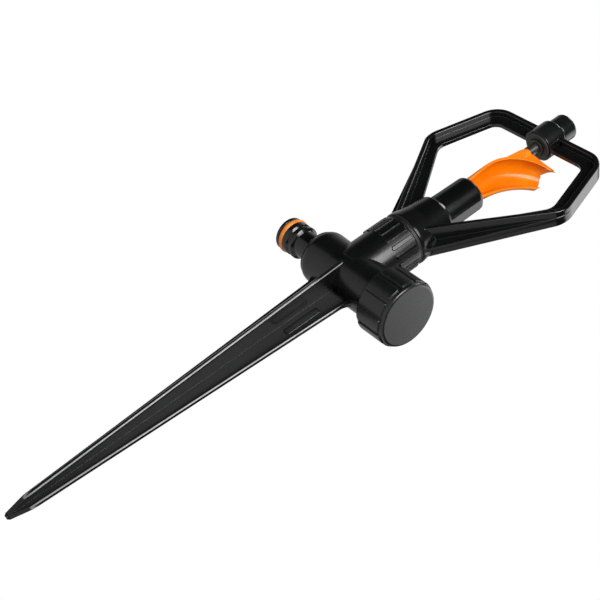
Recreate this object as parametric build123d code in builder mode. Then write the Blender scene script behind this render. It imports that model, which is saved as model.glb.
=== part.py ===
"""Rotary garden sprinkler on a ground spike.

Millimetres, +Z up.  The spike axis is the Z axis and z = 0 is ground level with the
spike pushed in.  The cross-tube runs along X: hose nipple at -X, screw cap at +X.
"""
import os
from math import cos, hypot, radians, sin

from build123d import *

# ---------------------------------------------------------------- spike and cross-tube
SPIKE_TIP_Z = -144.0        # point of the buried spike
SPIKE_SHOULDER_Z = -131.5   # where the long blades turn into the short point
BLADE_THICKNESS = 2.3
BLADE_HALF_AT_SHOULDER = 4.2
BLADE_HALF_AT_TOP = 11.7
BLADE_NOSE_HALF = 1.1
TUBE_Z = 30.0               # height of the cross-tube axis over the ground
TUBE_RADIUS = 11.8
TUBE_RADIUS_INLET = 12.5
TUBE_BORE = 9.0
TUBE_INLET_X = -20.4
THREAD_START_X = 21.6
THREAD_END_X = 32.6
CAP_THREAD_RADIUS = 13.1    # G 3/4 thread, drawn plain just under its outside diameter
RUNNING_GAP = 0.05          # radial play of every turning or sliding fit

# ---------------------------------------------------------------- riser socket
RISER_RADIUS = 12.35
RISER_BORE = 7.5
SOCKET_FLOOR_Z = 47.0
SOCKET_TOP_Z = 59.5
HEAD_THREAD_RADIUS = 10.4   # G 1/2 thread, drawn plain
GRIP_RIB_COUNT = 18
GRIP_RIB_FIRST = 15.0
GRIP_RIB_HEIGHT = 0.6
GRIP_RIB_ANGLE = 9.0
GRIP_RIB_Z = (47.2, 58.4)
GRIP_CORNER_RADIUS = 0.9    # rounded corners of the grip ribs and of the cap's pads

# ---------------------------------------------------------------- inlet nipple
NIPPLE_BORE = 4.6
NIPPLE_LAND = 7.8
INLET_GROOVE = 0.4          # shadow gap between the tube and the nipple's flange
O_RING_WIRE = 1.42          # radius of the round cord
O_RING_CENTRE = 6.8
O_RING_X = -39.95

# ---------------------------------------------------------------- screw cap
CAP_BACK_X = 20.0
CAP_FRONT_X = 36.3
CAP_RADIUS = 14.8
CAP_FACE_THICKNESS = 2.0
CAP_PAD_COUNT = 12
CAP_PAD_HEIGHT = 0.7
CAP_PAD_ANGLE = 24.0
CAP_PAD_FIRST = 17.0
CAP_PAD_X = (21.0, 34.3)

# ---------------------------------------------------------------- head frame
GASKET_Z = (59.5, 61.0)
FRAME_BASE_Z = 61.0
FRAME_SPIGOT_Z = 48.5
FRAME_BASE_RADIUS = 12.75
NOZZLE_STEP_Z = 81.0
NOZZLE_TUBE_RADIUS = 8.6
NOZZLE_TOP_Z = 102.3
TUBE_RIB_X = 8.85
TUBE_RIB_HALF = 2.2
TUBE_RIB_TOP_Z = 100.2
BUSH_BORE_RADIUS = 6.7
BUSH_SEAT_Z = 86.0
INSERT_BORE_RADIUS = 5.8
INSERT_SEAT_Z = 72.0
FRAME_BORE_RADIUS = 7.4
CORNER_LOW = (43.8, 116.6)  # widest corners of the yoke, outer surface
CORNER_TOP = (32.7, 154.1)  # top corners of the yoke, outer surface
CORNER_RADIUS = 10.7
FLANGE_THICKNESS = 2.4
FLANGE_HALF_DEPTH = 3.8
FLANGE_HALF_DEPTH_BASE = 8.6
WEB_HALF_THICKNESS = 0.95
WEB_CORNER_LOW = (35.7, 116.4)
WEB_CORNER_TOP = (26.9, 146.3)
BOSS_RADIUS = 7.8
BOSS_Z = (146.0, 157.0)
BOSS_BORE_RADIUS = 4.95
PLUG_TOP_Z = 165.6

# ---------------------------------------------------------------- rotor
ROTOR_AZIMUTH = 42.0        # heading the channel bends towards, seen from above
STEM_RADIUS = 4.55
STEM_BORE = 3.1
STEM_BOTTOM_Z = 84.5
SLEEVE_RADIUS = 6.2
SLEEVE_Z = (96.7, 102.0)
CHANNEL_WALL = 1.25
CHANNEL_RIM = 2.6
# water channel, from the mouth to the lip: the left and right edges of the trough as
# (distance along the heading, height), then the depth of the trough
CHANNEL_STATIONS = [
    ((-5.5, 99.4), (3.4, 101.6), 5.4),
    ((-6.3, 111.5), (6.2, 110.5), 5.9),
    ((-5.9, 121.6), (9.2, 118.9), 6.1),
    ((-2.7, 129.4), (12.4, 125.0), 6.1),
    ((3.2, 136.8), (16.2, 130.4), 5.8),
    ((9.9, 141.4), (21.4, 137.0), 5.2),
    ((14.8, 143.9), (24.6, 140.4), 4.8),
]
WING_TOP = [(-3.2, 135.0), (-2.6, 136.9), (-1.3, 138.5), (8.3, 141.7), (13.6, 143.9)]
WING_FOOT = [(9.6, 140.7), (3.5, 136.2), (-2.0, 129.2), (-4.6, 123.0)]
WING_HALF_DEPTH = 2.2
LIP_CUT_Z = 139.6
LIP_CUT = [(14.7, -4.0), (14.6, -2.5), (12.8, 0.0), (11.9, 3.0), (11.9, 8.0), (20.0, 8.0), (20.0, -4.0)]
HUB_RADIUS = 2.5
HUB_Z = (135.8, 139.0)
PIN_RADIUS = 1.9
PIN_COLLAR_RADIUS = 2.7
PIN_COLLAR_TOP_Z = 144.1
PIN_Z = (136.4, 151.9)


def disc(z0, z1, radius, bore=0.0, mode=Mode.ADD):
    """Flat ring or disc about the Z axis between two heights."""
    with BuildSketch(Plane.XY.offset(z0)) as face:
        Circle(radius)
        if bore > 0:
            Circle(bore, mode=Mode.SUBTRACT)
    extrude(face.sketch, amount=z1 - z0, mode=mode)


def turned_z(points, mode=Mode.ADD):
    """Solid of revolution about the Z axis from (radius, height) points."""
    with BuildSketch(Plane.XZ) as face:
        with BuildLine():
            Polyline(*points, close=True)
        make_face()
    revolve(face.sketch, axis=Axis.Z, mode=mode)


def turned_x(points, mode=Mode.ADD):
    """Solid of revolution about the cross-tube axis from (x, radius) points."""
    with BuildSketch(Plane.XZ) as face:
        with BuildLine():
            Polyline(*[(x, TUBE_Z + r) for x, r in points], close=True)
        make_face()
    revolve(face.sketch, axis=Axis((0, 0, TUBE_Z), (1, 0, 0)), mode=mode)


def raised_pad(plane, length, inner, outer, heading, width):
    """Curved pad: a sector of a ring centred on a heading in degrees, extruded."""
    start = heading - width / 2
    with BuildSketch(plane) as sector:
        with BuildLine():
            CenterArc((0, 0), inner, start, width)
            CenterArc((0, 0), outer, start, width)
            for angle in (radians(start), radians(start + width)):
                Line(
                    (inner * cos(angle), inner * sin(angle)),
                    (outer * cos(angle), outer * sin(angle)),
                )
        make_face()
    extrude(sector.sketch, amount=length)


def torus_about(plane, centre_radius, wire_radius):
    """O-ring lying in the given plane."""
    with Locations(plane.location):
        Torus(centre_radius, wire_radius)


def blade_outline(top_half, top_z):
    """Half-width and height of a spike blade, from the point up."""
    side = [
        (BLADE_NOSE_HALF, SPIKE_TIP_Z + 0.9),
        (BLADE_HALF_AT_SHOULDER, SPIKE_SHOULDER_Z),
        (top_half, top_z),
    ]
    return [(-x, z) for x, z in reversed(side)] + [(0, SPIKE_TIP_Z)] + side


# ================================================================ ground spike body
with BuildPart() as ground_spike_body:
    # two crossing blades tapering to a short four-sided point
    with BuildSketch(Plane.XZ):
        with BuildLine():
            Polyline(*blade_outline(BLADE_HALF_AT_TOP, 20.5), close=True)
        make_face()
    extrude(amount=BLADE_THICKNESS / 2, both=True)
    with BuildSketch(Plane.YZ):
        with BuildLine():
            Polyline(*blade_outline(BLADE_HALF_AT_TOP - 0.1, TUBE_Z - 3), close=True)
        make_face()
    extrude(amount=BLADE_THICKNESS / 2, both=True)
    long_edges = ground_spike_body.edges().filter_by(lambda e: e.length > 100)
    outer_edges = [e for e in long_edges if max(abs(e.center().X), abs(e.center().Y)) > 5]
    fillet(outer_edges, radius=0.9)
    # small root webs where the X blades meet the underside of the tube
    for side in (-1, 1):
        with BuildSketch(Plane.XZ):
            with BuildLine():
                Polyline(
                    (side * 9.5, 10.0),
                    (side * 11.45, 15.6),
                    (side * 12.3, 17.4),
                    (side * 14.3, 18.9),
                    (side * 14.3, 20.5),
                    (side * 9.5, 20.5),
                    close=True,
                )
            make_face()
        extrude(amount=BLADE_THICKNESS / 2 - 0.2, both=True)
    # cross-tube with its rounded inlet shoulder and the plain threaded end
    turned_x(
        [
            (TUBE_INLET_X, 0),
            (TUBE_INLET_X, TUBE_RADIUS_INLET - 1.4),
            (TUBE_INLET_X + 0.5, TUBE_RADIUS_INLET - 0.85),
            (TUBE_INLET_X + 1.2, TUBE_RADIUS_INLET - 0.4),
            (TUBE_INLET_X + 2.2, TUBE_RADIUS_INLET - 0.1),
            (TUBE_INLET_X + 3.6, TUBE_RADIUS_INLET),
            (-2.0, TUBE_RADIUS),
            (THREAD_START_X, TUBE_RADIUS),
            (THREAD_START_X, CAP_THREAD_RADIUS - 0.6),
            (THREAD_START_X + 0.6, CAP_THREAD_RADIUS),
            (THREAD_END_X - 0.8, CAP_THREAD_RADIUS),
            (THREAD_END_X, CAP_THREAD_RADIUS - 0.8),
            (THREAD_END_X, 0),
        ]
    )
    # riser up to the head socket
    disc(TUBE_Z, SOCKET_TOP_Z, RISER_RADIUS)
    fillet(
        ground_spike_body.edges()
        .filter_by(GeomType.CIRCLE)
        .filter_by_position(Axis.Z, SOCKET_TOP_Z - 0.01, SOCKET_TOP_Z + 0.01),
        radius=0.4,
    )
    # raised grip ribs round the socket, with rounded lower corners
    for index in range(GRIP_RIB_COUNT):
        raised_pad(
            Plane.XY.offset(GRIP_RIB_Z[0]),
            GRIP_RIB_Z[1] - GRIP_RIB_Z[0],
            RISER_RADIUS - 0.8,
            RISER_RADIUS + GRIP_RIB_HEIGHT,
            GRIP_RIB_FIRST + 360 / GRIP_RIB_COUNT * index,
            GRIP_RIB_ANGLE,
        )
    rib_corners = ground_spike_body.edges().filter_by(GeomType.LINE).filter_by(
        lambda e: abs(e.center().Z - GRIP_RIB_Z[0]) < 0.01 and e.length < GRIP_RIB_HEIGHT + 0.1
    )
    fillet(rib_corners, radius=GRIP_CORNER_RADIUS)
    rib_rims = ground_spike_body.edges().filter_by(
        lambda e: GRIP_RIB_Z[0] - 0.01 < e.center().Z < GRIP_RIB_Z[1] + 0.01
        and hypot(e.center().X, e.center().Y) > RISER_RADIUS + GRIP_RIB_HEIGHT - 0.15
    )
    fillet(rib_rims, radius=0.25)
    # waterways: straight through the tube, up the riser, wide threaded socket
    turned_x(
        [
            (TUBE_INLET_X - 1, 0),
            (TUBE_INLET_X - 1, TUBE_BORE),
            (THREAD_END_X + 1, TUBE_BORE),
            (THREAD_END_X + 1, 0),
        ],
        mode=Mode.SUBTRACT,
    )
    disc(TUBE_Z, SOCKET_FLOOR_Z + 1, RISER_BORE, mode=Mode.SUBTRACT)
    disc(SOCKET_FLOOR_Z, SOCKET_TOP_Z + 1, HEAD_THREAD_RADIUS + RUNNING_GAP, mode=Mode.SUBTRACT)
ground_spike_body.part.label = "ground_spike_body"

# ================================================================ hose nipple
with BuildPart() as inlet_spigot:
    groove_floor = O_RING_CENTRE - O_RING_WIRE
    turned_x(
        [
            (-11.0, NIPPLE_BORE),
            (-11.0, TUBE_BORE - 0.6),
            (-11.6, TUBE_BORE),
            (-13.6, TUBE_BORE),
            (-13.6, TUBE_BORE - 1.3),
            (-16.0, TUBE_BORE - 1.3),
            (-16.0, TUBE_BORE),
            (TUBE_INLET_X, TUBE_BORE),
            (TUBE_INLET_X, 10.3),
            (TUBE_INLET_X - INLET_GROOVE, 10.3),
            (TUBE_INLET_X - INLET_GROOVE, 11.1),
            (-21.2, 11.1),
            (-21.45, 10.7),
            (-22.0, 9.7),
            (-22.6, 8.6),
            (-23.3, 7.4),
            (-24.3, 6.7),
            (-25.4, 6.5),
            (-31.6, 6.5),
            (-32.2, 7.4),
            (-32.6, 7.8),
            (-33.8, 7.8),
            (-34.4, 7.3),
            (-34.8, 6.8),
            (-35.5, 6.8),
            (-36.0, 7.4),
            (-36.5, NIPPLE_LAND),
            (O_RING_X + O_RING_WIRE + 0.1, NIPPLE_LAND),
            (O_RING_X + O_RING_WIRE + 0.1, groove_floor),
            (O_RING_X - O_RING_WIRE - 0.1, groove_floor),
            (O_RING_X - O_RING_WIRE - 0.1, NIPPLE_LAND),
            (-42.9, NIPPLE_LAND),
            (-43.5, 7.1),
            (-43.8, 6.0),
            (-43.8, NIPPLE_BORE),
        ]
    )
inlet_spigot.part.label = "inlet_spigot"

with BuildPart() as inlet_o_ring:
    torus_about(Plane((O_RING_X, 0, TUBE_Z), z_dir=(1, 0, 0)), O_RING_CENTRE, O_RING_WIRE)
inlet_o_ring.part.label = "inlet_o_ring"

with BuildPart() as spigot_seal:
    torus_about(Plane((-14.8, 0, TUBE_Z), z_dir=(1, 0, 0)), TUBE_BORE - 0.65, 0.64)
spigot_seal.part.label = "spigot_seal"

# ================================================================ screw cap
with BuildPart() as end_cap:
    cap_bore = CAP_THREAD_RADIUS + RUNNING_GAP
    turned_x(
        [
            (CAP_BACK_X, cap_bore),
            (CAP_BACK_X, CAP_RADIUS - 0.5),
            (CAP_BACK_X + 0.5, CAP_RADIUS),
            (CAP_FRONT_X - 1.1, CAP_RADIUS),
            (CAP_FRONT_X - 0.6, CAP_RADIUS - 0.15),
            (CAP_FRONT_X - 0.2, CAP_RADIUS - 0.5),
            (CAP_FRONT_X, CAP_RADIUS - 1.1),
            (CAP_FRONT_X, 0),
            (CAP_FRONT_X - CAP_FACE_THICKNESS, 0),
            (CAP_FRONT_X - CAP_FACE_THICKNESS, cap_bore),
        ]
    )
    for index in range(CAP_PAD_COUNT):
        raised_pad(
            Plane((CAP_PAD_X[0], 0, TUBE_Z), x_dir=(0, 1, 0), z_dir=(1, 0, 0)),
            CAP_PAD_X[1] - CAP_PAD_X[0],
            CAP_RADIUS - 0.8,
            CAP_RADIUS + CAP_PAD_HEIGHT,
            CAP_PAD_FIRST + 360 / CAP_PAD_COUNT * index,
            CAP_PAD_ANGLE,
        )
    pad_corners = end_cap.edges().filter_by(GeomType.LINE).filter_by(
        lambda e: min(abs(e.center().X - x) for x in CAP_PAD_X) < 0.01
        and e.length < CAP_PAD_HEIGHT + 0.1
    )
    fillet(pad_corners, radius=GRIP_CORNER_RADIUS)
    pad_rim = end_cap.edges().filter_by(
        lambda e: (Vector(0, e.center().Y, e.center().Z) - Vector(0, 0, TUBE_Z)).length
        > CAP_RADIUS + CAP_PAD_HEIGHT - 0.4
    )
    fillet(pad_rim, radius=0.3)
end_cap.part.label = "end_cap"

with BuildPart() as end_cap_gasket:
    turned_x(
        [
            (THREAD_END_X + 0.05, 8.8),
            (THREAD_END_X + 0.05, 12.8),
            (CAP_FRONT_X - CAP_FACE_THICKNESS - 0.05, 12.8),
            (CAP_FRONT_X - CAP_FACE_THICKNESS - 0.05, 8.8),
        ]
    )
end_cap_gasket.part.label = "end_cap_gasket"

# ================================================================ head gasket
with BuildPart() as head_gasket:
    disc(GASKET_Z[0] + 0.05, GASKET_Z[1], 12.1, bore=HEAD_THREAD_RADIUS + 0.2)
head_gasket.part.label = "head_gasket"


def yoke_band(outer, inner):
    """Closed outline made of an outer run of corners and the matching inner run."""
    return (
        outer
        + [(-x, z) for x, z in reversed(outer)]
        + [(-x, z) for x, z in inner]
        + [(x, z) for x, z in reversed(inner)]
    )


def corners_at(sketch, *places):
    """Corners of a sketch at the given (x, z) places and at their mirror images."""
    return [
        v
        for v in sketch.vertices()
        if any(hypot(abs(v.X) - x, v.Y - z) < 0.01 for x, z in places)
    ]


# ================================================================ head frame
with BuildPart() as head_frame:
    # flat flange of the yoke, deep near the base and slim round the top
    t = FLANGE_THICKNESS
    flange_outline = yoke_band(
        [(8.6, 64.5), CORNER_LOW, CORNER_TOP],
        [(8.6, 68.6), (41.15, 116.9), (30.9, 151.7)],
    )
    with BuildSketch(Plane.XZ) as flange:
        with BuildLine():
            Polyline(*flange_outline, close=True)
        make_face()
        fillet(corners_at(flange, CORNER_LOW, CORNER_TOP), radius=CORNER_RADIUS)
        fillet(corners_at(flange, (41.15, 116.9), (30.9, 151.7)), radius=CORNER_RADIUS - t)
    extrude(amount=FLANGE_HALF_DEPTH_BASE, both=True)
    low, top = CORNER_LOW[1], CORNER_TOP[1]
    with BuildSketch(Plane.YZ):
        with BuildLine():
            Polyline(
                (-FLANGE_HALF_DEPTH_BASE, 62),
                (FLANGE_HALF_DEPTH_BASE, 62),
                (FLANGE_HALF_DEPTH, low + 1),
                (FLANGE_HALF_DEPTH, top + 1),
                (-FLANGE_HALF_DEPTH, top + 1),
                (-FLANGE_HALF_DEPTH, low + 1),
                close=True,
            )
        make_face()
    extrude(amount=60, both=True, mode=Mode.INTERSECT)
    fillet(head_frame.edges(), radius=0.5)
    # thin web in the middle plane, standing inside the flange above and outside it below
    with BuildSketch(Plane.XZ) as web:
        with BuildLine():
            Polyline(
                *yoke_band(
                    [(7.8, FRAME_BASE_Z + 0.2), (12.4, FRAME_BASE_Z + 0.2), CORNER_LOW, CORNER_TOP],
                    [(7.8, 77.0), WEB_CORNER_LOW, WEB_CORNER_TOP],
                ),
                close=True,
            )
        make_face()
        fillet(corners_at(web, CORNER_LOW, CORNER_TOP), radius=CORNER_RADIUS)
        fillet(corners_at(web, WEB_CORNER_LOW), radius=7.0)
        fillet(corners_at(web, WEB_CORNER_TOP), radius=5.0)
    extrude(amount=WEB_HALF_THICKNESS, both=True)
    # base flange, cone and nozzle tube
    turned_z(
        [
            (0, FRAME_SPIGOT_Z),
            (HEAD_THREAD_RADIUS - 0.5, FRAME_SPIGOT_Z),
            (HEAD_THREAD_RADIUS, FRAME_SPIGOT_Z + 0.5),
            (HEAD_THREAD_RADIUS, FRAME_BASE_Z),
            (FRAME_BASE_RADIUS - 0.3, FRAME_BASE_Z),
            (FRAME_BASE_RADIUS, FRAME_BASE_Z + 0.3),
            (FRAME_BASE_RADIUS, 62.3),
            (12.55, 63.6),
            (12.15, 66.3),
            (11.55, 70.0),
            (10.95, 75.6),
            (10.5, NOZZLE_STEP_Z - 0.8),
            (10.2, NOZZLE_STEP_Z - 0.2),
            (9.6, NOZZLE_STEP_Z + 0.2),
            (9.0, NOZZLE_STEP_Z + 0.5),
            (NOZZLE_TUBE_RADIUS, NOZZLE_STEP_Z + 1.2),
            (NOZZLE_TUBE_RADIUS - 0.2, NOZZLE_TOP_Z - 1.6),
            (NOZZLE_TUBE_RADIUS - 0.45, NOZZLE_TOP_Z - 0.8),
            (NOZZLE_TUBE_RADIUS - 0.95, NOZZLE_TOP_Z - 0.2),
            (NOZZLE_TUBE_RADIUS - 1.5, NOZZLE_TOP_Z),
            (0, NOZZLE_TOP_Z),
        ]
    )
    # flat mould rib down each side of the nozzle tube
    with BuildSketch(Plane.XY.offset(NOZZLE_STEP_Z + 0.4)):
        Rectangle(2 * TUBE_RIB_X, 2 * TUBE_RIB_HALF)
    extrude(amount=TUBE_RIB_TOP_Z - NOZZLE_STEP_Z - 0.4)
    # bearing boss on the crossbar
    disc(BOSS_Z[0], BOSS_Z[1], BOSS_RADIUS)
    fillet(
        head_frame.edges()
        .filter_by(GeomType.CIRCLE)
        .filter_by_position(Axis.Z, BOSS_Z[1] - 0.01, BOSS_Z[1] + 0.01),
        radius=1.2,
    )
    # stepped waterway, bearing bore and the seat of the plug seal
    turned_z(
        [
            (0, FRAME_SPIGOT_Z - 1),
            (FRAME_BORE_RADIUS, FRAME_SPIGOT_Z - 1),
            (FRAME_BORE_RADIUS, INSERT_SEAT_Z),
            (INSERT_BORE_RADIUS, INSERT_SEAT_Z),
            (INSERT_BORE_RADIUS, BUSH_SEAT_Z),
            (BUSH_BORE_RADIUS, BUSH_SEAT_Z),
            (BUSH_BORE_RADIUS, NOZZLE_TOP_Z + 1),
            (0, NOZZLE_TOP_Z + 1),
        ],
        mode=Mode.SUBTRACT,
    )
    disc(BOSS_Z[0] - 1, BOSS_Z[1] + 1, BOSS_BORE_RADIUS, mode=Mode.SUBTRACT)
    disc(BOSS_Z[1] - 1.0, BOSS_Z[1] + 1, 6.1, mode=Mode.SUBTRACT)
head_frame.part.label = "head_frame"

# ================================================================ nozzle insert
with BuildPart() as nozzle_insert:
    turned_z(
        [
            (5.9, 70.4),
            (7.3, 70.4),
            (7.3, INSERT_SEAT_Z),
            (5.75, INSERT_SEAT_Z),
            (5.75, 75.4),
            (4.4, 75.4),
            (4.4, 77.0),
            (5.75, 77.0),
            (5.75, 80.8),
            (5.2, 81.6),
            (2.1, 81.6),
            (2.1, 79.6),
            (4.0, 74.0),
        ]
    )
nozzle_insert.part.label = "nozzle_insert"

with BuildPart() as nozzle_o_ring:
    torus_about(Plane((0, 0, 76.2)), 5.1, 0.68)
nozzle_o_ring.part.label = "nozzle_o_ring"

# ================================================================ lower bearing
with BuildPart() as lower_bush:
    disc(BUSH_SEAT_Z, 96.0, BUSH_BORE_RADIUS, bore=STEM_RADIUS + RUNNING_GAP)
lower_bush.part.label = "lower_bush"

with BuildPart() as lower_thrust_washer:
    disc(96.0, 96.6, 6.3, bore=STEM_RADIUS + 0.3)
lower_thrust_washer.part.label = "lower_thrust_washer"

# ================================================================ rotor
ALONG = Vector(cos(radians(ROTOR_AZIMUTH)), sin(radians(ROTOR_AZIMUTH)), 0)
ACROSS = Vector(sin(radians(ROTOR_AZIMUTH)), -cos(radians(ROTOR_AZIMUTH)), 0)
ROTOR_SIDE = Plane(origin=(0, 0, 0), x_dir=ALONG, z_dir=ACROSS)


def channel_section(station):
    """Wall of the channel at one station, a trough open to one side of the rotor."""
    (left_x, left_z), (right_x, right_z), depth = station
    middle = ALONG * ((left_x + right_x) / 2) + Vector(0, 0, (left_z + right_z) / 2)
    chord = ALONG * (right_x - left_x) + Vector(0, 0, right_z - left_z)
    half = chord.length / 2
    plane = Plane(middle, x_dir=chord, z_dir=chord.cross(ACROSS))
    with BuildSketch(plane) as section:
        with BuildLine():
            ThreePointArc((-half, CHANNEL_RIM), (0, -depth), (half, CHANNEL_RIM))
            Line((half, CHANNEL_RIM), (half - CHANNEL_WALL, CHANNEL_RIM))
            ThreePointArc(
                (half - CHANNEL_WALL, CHANNEL_RIM),
                (0, CHANNEL_WALL - depth),
                (CHANNEL_WALL - half, CHANNEL_RIM),
            )
            Line((CHANNEL_WALL - half, CHANNEL_RIM), (-half, CHANNEL_RIM))
        make_face()
    return section.sketch.face()


with BuildPart() as spinner:
    loft([channel_section(station) for station in CHANNEL_STATIONS])
    # scalloped end between the pointed upper lip and the rounded lower corner
    with BuildSketch(ROTOR_SIDE):
        with BuildLine():
            Line((15.2, 146.5), (14.6, 143.3))
            Spline((14.6, 143.3), (12.9, 142.2), (12.3, 140.6), (13.8, 138.1), (15.4, 135.0))
            Spline((15.4, 135.0), (16.1, 132.4), (15.8, 130.2), (14.5, 128.0))
            Polyline((14.5, 128.0), (15.0, 126.5), (32.0, 126.5), (32.0, 146.5), (15.2, 146.5))
        make_face()
    extrude(amount=20, both=True, mode=Mode.SUBTRACT)
    # wing on the channel's upper wall, with the hub that holds the pin
    with BuildSketch(ROTOR_SIDE):
        with BuildLine():
            Polyline(*WING_TOP, *WING_FOOT, close=True)
        make_face()
    extrude(amount=WING_HALF_DEPTH, both=True)
    # the upper lip draws back to a point at its open side
    with BuildSketch(Plane(origin=(0, 0, LIP_CUT_Z), x_dir=ALONG, z_dir=(0, 0, 1))) as lip_cut:
        with BuildLine():
            Polyline(*LIP_CUT, close=True)
        make_face()
    extrude(lip_cut.sketch, amount=6, mode=Mode.SUBTRACT)
    disc(HUB_Z[0], HUB_Z[1], HUB_RADIUS)
    disc(PIN_Z[0], HUB_Z[1], PIN_RADIUS, mode=Mode.SUBTRACT)
    disc(HUB_Z[1], 146.0, PIN_COLLAR_RADIUS, mode=Mode.SUBTRACT)
    # running stem, and the sleeve that fills the mouth of the nozzle tube
    disc(STEM_BOTTOM_Z, SLEEVE_Z[0], STEM_RADIUS)
    disc(SLEEVE_Z[0], SLEEVE_Z[1], SLEEVE_RADIUS)
    turned_z(
        [
            (0, STEM_BOTTOM_Z - 1),
            (STEM_BORE, STEM_BOTTOM_Z - 1),
            (STEM_BORE, SLEEVE_Z[0]),
            (4.75, SLEEVE_Z[1] + 0.1),
            (0, SLEEVE_Z[1] + 0.1),
        ],
        mode=Mode.SUBTRACT,
    )
spinner.part.label = "spinner"

with BuildPart() as spinner_pin:
    turned_z(
        [
            (0, PIN_Z[0]),
            (PIN_RADIUS, PIN_Z[0]),
            (PIN_RADIUS, HUB_Z[1]),
            (PIN_COLLAR_RADIUS, HUB_Z[1]),
            (PIN_COLLAR_RADIUS, PIN_COLLAR_TOP_Z - 0.3),
            (PIN_COLLAR_RADIUS - 0.3, PIN_COLLAR_TOP_Z),
            (PIN_RADIUS, PIN_COLLAR_TOP_Z),
            (PIN_RADIUS, PIN_Z[1] - 0.6),
            (PIN_RADIUS - 0.5, PIN_Z[1]),
            (0, PIN_Z[1]),
        ]
    )
spinner_pin.part.label = "spinner_pin"

# ================================================================ upper bearing
with BuildPart() as upper_bush:
    turned_z(
        [
            (PIN_RADIUS + RUNNING_GAP, 147.0),
            (4.3, 146.4),
            (4.3, 145.0),
            (6.6, 145.0),
            (6.9, 145.3),
            (6.9, BOSS_Z[0]),
            (BOSS_BORE_RADIUS, BOSS_Z[0]),
            (BOSS_BORE_RADIUS, 151.6),
            (PIN_RADIUS + RUNNING_GAP, 151.6),
        ]
    )
upper_bush.part.label = "upper_bush"

with BuildPart() as upper_thrust_washer:
    disc(144.25, 144.85, 4.0, bore=PIN_RADIUS + 0.3)
upper_thrust_washer.part.label = "upper_thrust_washer"

with BuildPart() as thrust_pad:
    disc(152.0, 153.4, BOSS_BORE_RADIUS - RUNNING_GAP)
thrust_pad.part.label = "thrust_pad"

# ================================================================ top plug
with BuildPart() as top_plug:
    turned_z(
        [
            (0, 153.6),
            (BOSS_BORE_RADIUS - RUNNING_GAP - 0.4, 153.6),
            (BOSS_BORE_RADIUS - RUNNING_GAP, 154.0),
            (BOSS_BORE_RADIUS - RUNNING_GAP, BOSS_Z[1] + 0.3),
            (6.0, BOSS_Z[1] + 0.3),
            (6.45, BOSS_Z[1] + 0.8),
            (6.45, PLUG_TOP_Z - 1.1),
            (6.25, PLUG_TOP_Z - 0.6),
            (5.9, PLUG_TOP_Z - 0.2),
            (5.3, PLUG_TOP_Z),
            (0, PLUG_TOP_Z),
        ]
    )
top_plug.part.label = "top_plug"

with BuildPart() as top_plug_o_ring:
    torus_about(Plane((0, 0, BOSS_Z[1] - 0.38)), 5.5, 0.53)
top_plug_o_ring.part.label = "top_plug_o_ring"

PARTS = [
    ground_spike_body,
    inlet_spigot,
    inlet_o_ring,
    spigot_seal,
    end_cap,
    end_cap_gasket,
    head_gasket,
    head_frame,
    nozzle_insert,
    nozzle_o_ring,
    lower_bush,
    lower_thrust_washer,
    spinner,
    spinner_pin,
    upper_bush,
    upper_thrust_washer,
    thrust_pad,
    top_plug,
    top_plug_o_ring,
]
os.makedirs("parts", exist_ok=True)
for piece in PARTS:
    export_step(piece.part, f"parts/{piece.part.label}.step")
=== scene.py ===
"""Looks of the garden sprinkler: materials, moulded details, studio and camera."""

import math

import bpy
import bmesh
from mathutils import Matrix, Vector


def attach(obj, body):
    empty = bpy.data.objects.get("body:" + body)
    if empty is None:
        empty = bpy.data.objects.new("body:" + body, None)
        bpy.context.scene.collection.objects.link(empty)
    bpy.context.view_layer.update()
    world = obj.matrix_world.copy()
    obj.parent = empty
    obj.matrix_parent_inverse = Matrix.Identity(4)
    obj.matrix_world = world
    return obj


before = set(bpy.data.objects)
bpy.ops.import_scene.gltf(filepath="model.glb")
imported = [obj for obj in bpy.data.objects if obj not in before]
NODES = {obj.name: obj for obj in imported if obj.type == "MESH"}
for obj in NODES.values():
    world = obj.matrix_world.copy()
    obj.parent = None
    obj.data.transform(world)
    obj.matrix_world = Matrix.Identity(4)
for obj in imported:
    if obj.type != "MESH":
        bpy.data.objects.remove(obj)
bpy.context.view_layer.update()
MM = 0.001
TUBE_Z = 30.0 * MM

# blades of the spike: half their thickness, and their half width at two heights
BLADE_HALF_THICKNESS = 1.15 * MM
BLADE_LOW_Z, BLADE_LOW_HALF = -131.5 * MM, 4.2 * MM
BLADE_HIGH_Z, BLADE_HIGH_HALF = 20.5 * MM, 11.7 * MM

# painted highlight line along a blade's rounded edge, from full tone to none
HIGHLIGHT_SKEW = (0.3 * MM, 0.6 * MM)
HIGHLIGHT_DEPTH = (0.8 * MM, 1.0 * MM)
HIGHLIGHT_TOP_Z = (10.0 * MM, 14.0 * MM)
HIGHLIGHT_TONE = (0.3, 0.302, 0.305)

# blank panel on a blade, in millimetres
PANEL_CENTRE = (5.7, -2.3)
PANEL_HALF = (1.9, 9.2)
PANEL_CORNER = 1.0
# (inset from the outline, height over the blade)
PANEL_PROFILE = (
    (0.0, -0.15), (0.02, 0.1), (0.1, 0.24), (0.24, 0.3), (0.42, 0.28), (0.55, 0.16), (0.7, 0.12)
)

# middle of the soft range of a noise, where a colour or a roughness changes over
NOISE_LOW, NOISE_HIGH = 0.3, 0.7


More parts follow.
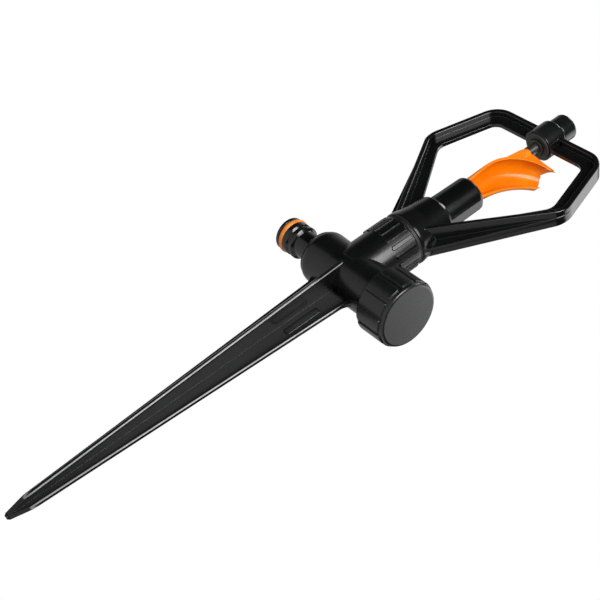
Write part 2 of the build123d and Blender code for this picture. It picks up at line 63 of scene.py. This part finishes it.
# ---------------------------------------------------------------- node helpers
class Tree:
    """Small helper that adds and links shader nodes."""

    def __init__(self, name):
        self.mat = bpy.data.materials.new(name)
        self.mat.use_nodes = True
        self.tree = self.mat.node_tree
        self.tree.nodes.clear()
        self.out = self.add("ShaderNodeOutputMaterial")
        self.bsdf = self.add("ShaderNodeBsdfPrincipled")
        self.link(self.bsdf.outputs["BSDF"], self.out.inputs["Surface"])
        self.coord = self.add("ShaderNodeTexCoord").outputs["Object"]

    def add(self, kind, **values):
        node = self.tree.nodes.new(kind)
        for key, value in values.items():
            if hasattr(node, key):
                setattr(node, key, value)
            else:
                node.inputs[key.replace("_", " ")].default_value = value
        return node

    def link(self, a, b):
        self.tree.links.new(a, b)

    def feed(self, socket, value):
        """Links another node's output to a socket, or writes a plain value into it."""
        if hasattr(value, "is_output"):
            self.link(value, socket)
        else:
            socket.default_value = value

    def noise(self, scale, detail=4.0, rough=0.55, stretch=None):
        node = self.add("ShaderNodeTexNoise", Scale=scale, Detail=detail, Roughness=rough)
        source = self.coord
        if stretch:
            mapping = self.add("ShaderNodeMapping")
            mapping.inputs["Scale"].default_value = stretch
            self.link(source, mapping.inputs["Vector"])
            source = mapping.outputs["Vector"]
        self.link(source, node.inputs["Vector"])
        return node.outputs["Fac"]

    def cells(self, scale):
        node = self.add("ShaderNodeTexVoronoi", Scale=scale)
        self.link(self.coord, node.inputs["Vector"])
        return node.outputs["Distance"]

    def span(self, source, low, high, to_low, to_high):
        """Maps the range low to high onto another range, held at its ends."""
        node = self.add(
            "ShaderNodeMapRange", From_Min=low, From_Max=high, To_Min=to_low, To_Max=to_high
        )
        self.link(source, node.inputs["Value"])
        return node.outputs["Result"]

    def mix(self, fac, a, b):
        node = self.add("ShaderNodeMix", data_type="RGBA")
        colours = [(*value, 1) if isinstance(value, tuple) else value for value in (a, b)]
        for socket, value in zip((node.inputs["Factor"], *node.inputs[6:8]), (fac, *colours)):
            self.feed(socket, value)
        return node.outputs[2]

    def math(self, kind, a, b=0.0):
        node = self.add("ShaderNodeMath", operation=kind)
        for socket, value in zip(node.inputs, (a, b)):
            self.feed(socket, value)
        return node.outputs[0]

    def edge(self):
        """Bright where the surface turns sharply outwards."""
        pointy = self.add("ShaderNodeNewGeometry").outputs["Pointiness"]
        return self.span(pointy, 0.52, 0.62, 0.0, 1.0)

    def bump(self, *layers, round_edges=0.0):
        """Stacked bumps, each (height, strength, distance), over softly rounded edges."""
        normal = None
        if round_edges:
            normal = self.add("ShaderNodeBevel", samples=12, Radius=round_edges).outputs["Normal"]
        for height, strength, distance in layers:
            node = self.add("ShaderNodeBump", Strength=strength, Distance=distance)
            self.link(height, node.inputs["Height"])
            if normal:
                self.link(normal, node.inputs["Normal"])
            normal = node.outputs["Normal"]
        self.link(normal, self.bsdf.inputs["Normal"])

    def set(self, **values):
        for key, value in values.items():
            self.feed(self.bsdf.inputs[key.replace("_", " ")], value)


def scaled(tone, factor, add=0.0):
    return tuple(min(1.0, c * factor + add) for c in tone)


# ---------------------------------------------------------------- materials
def blade_highlight_mask(t):
    """Mask of a painted highlight: one along the middle of the rounded edges of the spike's
    blades, nothing elsewhere.
    """
    axes = t.add("ShaderNodeSeparateXYZ")
    t.link(t.coord, axes.inputs["Vector"])
    x = t.math("ABSOLUTE", axes.outputs["X"])
    y = t.math("ABSOLUTE", axes.outputs["Y"])
    z = axes.outputs["Z"]
    half_width = t.span(z, BLADE_LOW_Z, BLADE_HIGH_Z, BLADE_LOW_HALF, BLADE_HIGH_HALF)
    from_end = t.math("SUBTRACT", half_width, t.math("MAXIMUM", x, y))
    from_side = t.math("SUBTRACT", BLADE_HALF_THICKNESS, t.math("MINIMUM", x, y))
    skew = t.math("ABSOLUTE", t.math("SUBTRACT", from_end, from_side))
    near = t.math(
        "MULTIPLY", t.span(skew, *HIGHLIGHT_SKEW, 1.0, 0.0), t.span(from_end, *HIGHLIGHT_DEPTH, 1.0, 0.0)
    )
    return t.math("MULTIPLY", near, t.span(z, *HIGHLIGHT_TOP_Z, 1.0, 0.0))


def black_moulding(name, tone, rough, grain, specular, round_edges, blades=False):
    """Black plastic: faint flow marks, spark-eroded grain and rubbed edges; with blades set, a
    painted highlight along the blades' rounded edges.
    """
    t = Tree(name)
    flow = t.noise(38.0, 5.0, 0.6, stretch=(1.0, 1.0, 0.35))
    cloud = t.noise(150.0, 3.0)
    fine = t.noise(2600.0, 2.0, 0.7)
    pits = t.cells(1900.0)
    marks = t.span(flow, NOISE_LOW, NOISE_HIGH, 0.0, 1.0)
    colour = t.mix(marks, scaled(tone, 0.72), scaled(tone, 1.35))
    colour = t.mix(t.span(cloud, 0.45, 0.75, 0.0, 0.25), colour, scaled(tone, 1.9))
    rub = t.math("MULTIPLY", t.edge(), t.span(cloud, 0.35, 0.65, 0.15, 0.6))
    colour = t.mix(rub, colour, scaled(tone, 3.0, 0.012))
    if blades:
        # painted highlight: a light grey line down the blade edges, standing in for gloss on
        # their rounded edges
        painted_highlight = t.math("MULTIPLY", blade_highlight_mask(t), t.span(cloud, 0.3, 0.6, 0.7, 1.0))
        colour = t.mix(painted_highlight, colour, HIGHLIGHT_TONE)
    blend = t.math("ADD", t.math("MULTIPLY", flow, 0.6), t.math("MULTIPLY", fine, 0.4))
    roughness = t.span(blend, NOISE_LOW, NOISE_HIGH, rough - 0.07, rough + 0.1)
    t.set(Base_Color=colour, Roughness=roughness, IOR=1.5, Specular_IOR_Level=specular)
    t.bump(
        (fine, grain, 0.00006),
        (pits, grain * 0.6, 0.00005),
        (flow, 0.12, 0.0004),
        round_edges=round_edges,
    )
    return t.mat


def orange_moulding():
    """Saturated orange acetal: gloss skin, light scattering, faint flow lines."""
    t = Tree("orange_moulding")
    flow = t.noise(90.0, 4.0, 0.55, stretch=(1.0, 1.0, 0.4))
    fine = t.noise(1700.0, 2.0, 0.6)
    deep, warm = (0.80, 0.172, 0.001), (0.92, 0.24, 0.003)
    colour = t.mix(t.span(flow, NOISE_LOW, NOISE_HIGH, 0.0, 1.0), deep, warm)
    # painted highlight: convex edges turn lighter orange, standing in for sheen on the rims
    colour = t.mix(t.math("MULTIPLY", t.edge(), 0.35), colour, (1.0, 0.38, 0.03))
    t.set(
        Base_Color=colour,
        Roughness=t.span(flow, NOISE_LOW, NOISE_HIGH, 0.15, 0.22),
        IOR=1.48,
        Specular_IOR_Level=0.35,
        Subsurface_Weight=0.12,
        Subsurface_Radius=(0.9, 0.35, 0.05),
        Subsurface_Scale=0.0008,
    )
    t.bump((fine, 0.05, 0.00003), (flow, 0.08, 0.0003), round_edges=0.0004)
    return t.mat


def rubber(name, tone, rough):
    """Moulded elastomer with a soft bloom."""
    t = Tree(name)
    bloom = t.noise(220.0, 4.0)
    fine = t.noise(2400.0, 2.0)
    colour = t.mix(t.span(bloom, 0.35, 0.7, 0.0, 1.0), scaled(tone, 0.8), scaled(tone, 1.15))
    roughness = t.span(bloom, NOISE_LOW, NOISE_HIGH, rough - 0.08, rough + 0.1)
    t.set(Base_Color=colour, Roughness=roughness, IOR=1.5)
    t.bump((fine, 0.15, 0.00004), (bloom, 0.12, 0.0002))
    return t.mat


def natural_acetal():
    """Milky bearing plastic with turning marks."""
    t = Tree("natural_acetal_surface")
    mottling = t.noise(260.0, 3.0)
    rings = t.noise(900.0, 2.0, 0.5, stretch=(0.05, 0.05, 1.0))
    mottled = t.span(mottling, NOISE_LOW, NOISE_HIGH, 0.0, 1.0)
    colour = t.mix(mottled, (0.66, 0.64, 0.57), (0.8, 0.79, 0.74))
    t.set(Base_Color=colour, Roughness=t.span(rings, NOISE_LOW, NOISE_HIGH, 0.32, 0.46))
    t.bump((rings, 0.2, 0.00005))
    return t.mat


def ground_steel():
    """Centreless-ground pin with fine rings and faint tarnish."""
    t = Tree("ground_steel")
    rings = t.noise(1500.0, 2.0, 0.6, stretch=(0.05, 0.05, 1.0))
    tarnish = t.noise(240.0, 4.0)
    tarnished = t.span(tarnish, 0.4, 0.7, 0.0, 1.0)
    colour = t.mix(tarnished, (0.16, 0.155, 0.15), (0.07, 0.066, 0.062))
    roughness = t.span(rings, NOISE_LOW, NOISE_HIGH, 0.28, 0.45)
    t.set(Base_Color=colour, Metallic=0.9, Roughness=roughness)
    t.bump((rings, 0.25, 0.00004), round_edges=0.0002)
    return t.mat


# name, tone, roughness, grain, specular level, radius of the softened edges
BLACK = black_moulding(
    "black_moulding", (0.0028, 0.0030, 0.0032), 0.24, 0.07, 0.6, 0.0002, blades=True
)
BLACK_GLOSS = black_moulding(
    "black_gloss_moulding", (0.0032, 0.0034, 0.0036), 0.17, 0.04, 0.65, 0.0005
)
CAP_GREY = black_moulding("cap_moulding", (0.004, 0.0043, 0.0046), 0.26, 0.08, 0.65, 0.0005)
BEARING = black_moulding("bearing_moulding", (0.02, 0.019, 0.019), 0.4, 0.2, 0.4, 0.00015)
ORANGE = orange_moulding()
ORANGE_RUBBER = rubber("orange_elastomer", (0.9, 0.27, 0.03), 0.38)
BLACK_RUBBER = rubber("black_elastomer", (0.012, 0.012, 0.012), 0.5)
ACETAL = natural_acetal()
STEEL = ground_steel()

SKIN = {
    "ground_spike_body": BLACK,
    "inlet_spigot": BLACK_GLOSS,
    "inlet_o_ring": ORANGE_RUBBER,
    "spigot_seal": BLACK_RUBBER,
    "end_cap": CAP_GREY,
    "end_cap_gasket": BLACK_RUBBER,
    "head_gasket": BLACK_RUBBER,
    "head_frame": BLACK_GLOSS,
    "nozzle_insert": BEARING,
    "nozzle_o_ring": BLACK_RUBBER,
    "lower_bush": ACETAL,
    "lower_thrust_washer": ACETAL,
    "spinner": ORANGE,
    "spinner_pin": STEEL,
    "upper_bush": BEARING,
    "upper_thrust_washer": BEARING,
    "thrust_pad": ACETAL,
    "top_plug": BLACK_GLOSS,
    "top_plug_o_ring": BLACK_RUBBER,
}


def dress_cad_nodes():
    """Gives each CAD node its material."""
    for name, material in SKIN.items():
        slots = NODES[name].material_slots
        if not slots:
            NODES[name].data.materials.append(material)
        for one in NODES[name].material_slots:
            one.material = material


# ---------------------------------------------------------------- moulded details
def finish_piece(bm, name, body, material):
    """Turns the mesh code of one detail into a piece that rides on a body."""
    bmesh.ops.recalc_face_normals(bm, faces=bm.faces)
    mesh = bpy.data.meshes.new(name)
    bm.to_mesh(mesh)
    bm.free()
    mesh.materials.append(material)
    piece = bpy.data.objects.new(name, mesh)
    bpy.context.scene.collection.objects.link(piece)
    for face in mesh.polygons:
        face.use_smooth = True
    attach(piece, body)


def rounded_loop(half_x, half_z, radius, steps=8):
    """Points round a rectangle with rounded corners."""
    points = []
    for index, (sx, sz) in enumerate(((1, 1), (-1, 1), (-1, -1), (1, -1))):
        for step in range(steps + 1):
            angle = math.radians(90.0 * (index + step / steps))
            x = sx * (half_x - radius) + radius * math.cos(angle)
            z = sz * (half_z - radius) + radius * math.sin(angle)
            points.append((x, z))
    return points


def blade_panel():
    """Blank raised panel with a rounded rim on the -Y face of the right-hand blade."""
    centre_x, centre_z = PANEL_CENTRE
    half_x, half_z = PANEL_HALF
    bm = bmesh.new()
    rings = []
    for inset, height in PANEL_PROFILE:
        loop = rounded_loop(half_x - inset, half_z - inset, PANEL_CORNER - inset * 0.8)
        y = -BLADE_HALF_THICKNESS - height * MM
        rings.append(
            [bm.verts.new(((centre_x + x) * MM, y, (centre_z + z) * MM)) for x, z in loop]
        )
    count = len(rings[0])
    for low, high in zip(rings, rings[1:]):
        for i in range(count):
            j = (i + 1) % count
            bm.faces.new((low[i], low[j], high[j], high[i]))
    bm.faces.new(rings[-1])
    finish_piece(bm, "blade_panel", "ground_body", BLACK)


# ---------------------------------------------------------------- camera and studio
CAMERA_AT = Vector((0.3169, -0.3529, -0.1828))
CAMERA_RIGHT = Vector((0.6241, 0.1621, 0.7644))
CAMERA_UP = Vector((-0.4653, -0.7088, 0.5302))
CAMERA_BACK = Vector((0.6277, -0.6866, -0.3669))
SENSOR_WIDTH = 36.0
FOCAL_LENGTH_IN_WIDTHS = 1208.1 / 600.0

FLOOR_Z = -0.95
FLOOR_SIZE = 9.0
FLOOR_TONE = (0.9, 0.9, 0.9)

# front light: level with the upper half of the object, ahead of its right-hand blades
FRONT_AT, FRONT_TARGET = (0.825, -0.726, 0.30), (0.0, 0.0, 0.30)
FRONT_SIZE, FRONT_WATTS = (0.70, 0.62), 14.5
TOP_DIRECTION, TOP_DISTANCE = (-0.15, -0.2, 1.0), 1.1
TOP_SIZE, TOP_WATTS = (0.3, 0.3), 2.0

AIR_BASE = 0.025
# each lobe: direction, dot product where it starts, where it is full, added level
AIR_LOBES = (
    ((-0.75, 0.60, 0.37), 0.45, 0.95, 0.5),
    ((0.42, 0.52, 0.74), 0.87, 0.96, 2.0),
    ((0.0, 0.0, 1.0), 0.6, 0.98, 0.2),
)


def make_camera():
    data = bpy.data.cameras.new("view_camera")
    data.sensor_width = SENSOR_WIDTH
    data.lens = FOCAL_LENGTH_IN_WIDTHS * SENSOR_WIDTH
    data.clip_start, data.clip_end = 0.01, 20.0
    camera = bpy.data.objects.new("view_camera", data)
    turn = Matrix((CAMERA_RIGHT, CAMERA_UP, CAMERA_BACK)).transposed().to_4x4()
    camera.matrix_world = Matrix.Translation(CAMERA_AT) @ turn
    bpy.context.scene.collection.objects.link(camera)
    bpy.context.scene.camera = camera


def area_light(name, at, target, size, watts):
    data = bpy.data.lights.new(name, "AREA")
    data.shape = "RECTANGLE"
    data.size, data.size_y = size
    data.energy = watts
    lamp = bpy.data.objects.new(name, data)
    lamp.location = at
    lamp.rotation_euler = (Vector(target) - Vector(at)).to_track_quat("-Z", "Y").to_euler()
    bpy.context.scene.collection.objects.link(lamp)


def make_floor():
    """Large plain card far under the object."""
    bm = bmesh.new()
    bmesh.ops.create_grid(bm, x_segments=8, y_segments=8, size=0.5)
    mesh = bpy.data.meshes.new("floor")
    bm.to_mesh(mesh)
    bm.free()
    card = bpy.data.objects.new("floor", mesh)
    card.scale = (FLOOR_SIZE, FLOOR_SIZE, 1.0)
    card.location = (0.0, 0.0, FLOOR_Z)
    card.rotation_euler.z = math.pi
    t = Tree("floor_paper")
    fibre = t.noise(14.0, 4.0)
    fibres = t.span(fibre, NOISE_LOW, NOISE_HIGH, 0.0, 1.0)
    tone = t.mix(fibres, scaled(FLOOR_TONE, 0.985), FLOOR_TONE)
    t.set(Base_Color=tone, Roughness=t.span(fibre, NOISE_LOW, NOISE_HIGH, 0.82, 0.95))
    mesh.materials.append(t.mat)
    bpy.context.scene.collection.objects.link(card)


def make_air():
    """White to the camera; to the surfaces, bright behind and above and dark in front."""
    world = bpy.data.worlds.new("studio_air")
    world.use_nodes = True
    tree = world.node_tree
    tree.nodes.clear()
    heading = tree.nodes.new("ShaderNodeTexCoord").outputs["Generated"]
    level = None
    for direction, low, high, amount in AIR_LOBES:
        dot = tree.nodes.new("ShaderNodeVectorMath")
        dot.operation = "DOT_PRODUCT"
        dot.inputs[1].default_value = Vector(direction).normalized()
        tree.links.new(heading, dot.inputs[0])
        lobe = tree.nodes.new("ShaderNodeMapRange")
        lobe.interpolation_type = "SMOOTHSTEP"
        lobe.inputs["From Min"].default_value = low
        lobe.inputs["From Max"].default_value = high
        lobe.inputs["To Max"].default_value = amount
        tree.links.new(dot.outputs["Value"], lobe.inputs["Value"])
        total = tree.nodes.new("ShaderNodeMath")
        total.operation = "ADD"
        total.inputs[1].default_value = AIR_BASE
        if level:
            tree.links.new(level, total.inputs[1])
        tree.links.new(lobe.outputs["Result"], total.inputs[0])
        level = total.outputs[0]
    path = tree.nodes.new("ShaderNodeLightPath")
    pick = tree.nodes.new("ShaderNodeMix")
    tree.links.new(path.outputs["Is Camera Ray"], pick.inputs["Factor"])
    tree.links.new(level, pick.inputs["A"])
    pick.inputs["B"].default_value = 1.0
    air = tree.nodes.new("ShaderNodeBackground")
    air.inputs["Color"].default_value = (1.0, 1.0, 1.0, 1.0)
    tree.links.new(pick.outputs["Result"], air.inputs["Strength"])
    out = tree.nodes.new("ShaderNodeOutputWorld")
    tree.links.new(air.outputs["Background"], out.inputs["Surface"])
    bpy.context.scene.world = world


def make_studio():
    make_air()
    bpy.context.scene.view_settings.view_transform = "Standard"
    make_floor()
    area_light("front_box", FRONT_AT, FRONT_TARGET, FRONT_SIZE, FRONT_WATTS)
    target = Vector((0.0, 0.0, TUBE_Z))
    top_at = target + Vector(TOP_DIRECTION).normalized() * TOP_DISTANCE
    area_light("top", top_at, target, TOP_SIZE, TOP_WATTS)


dress_cad_nodes()
blade_panel()
make_camera()
make_studio()

bpy.context.view_layer.update()
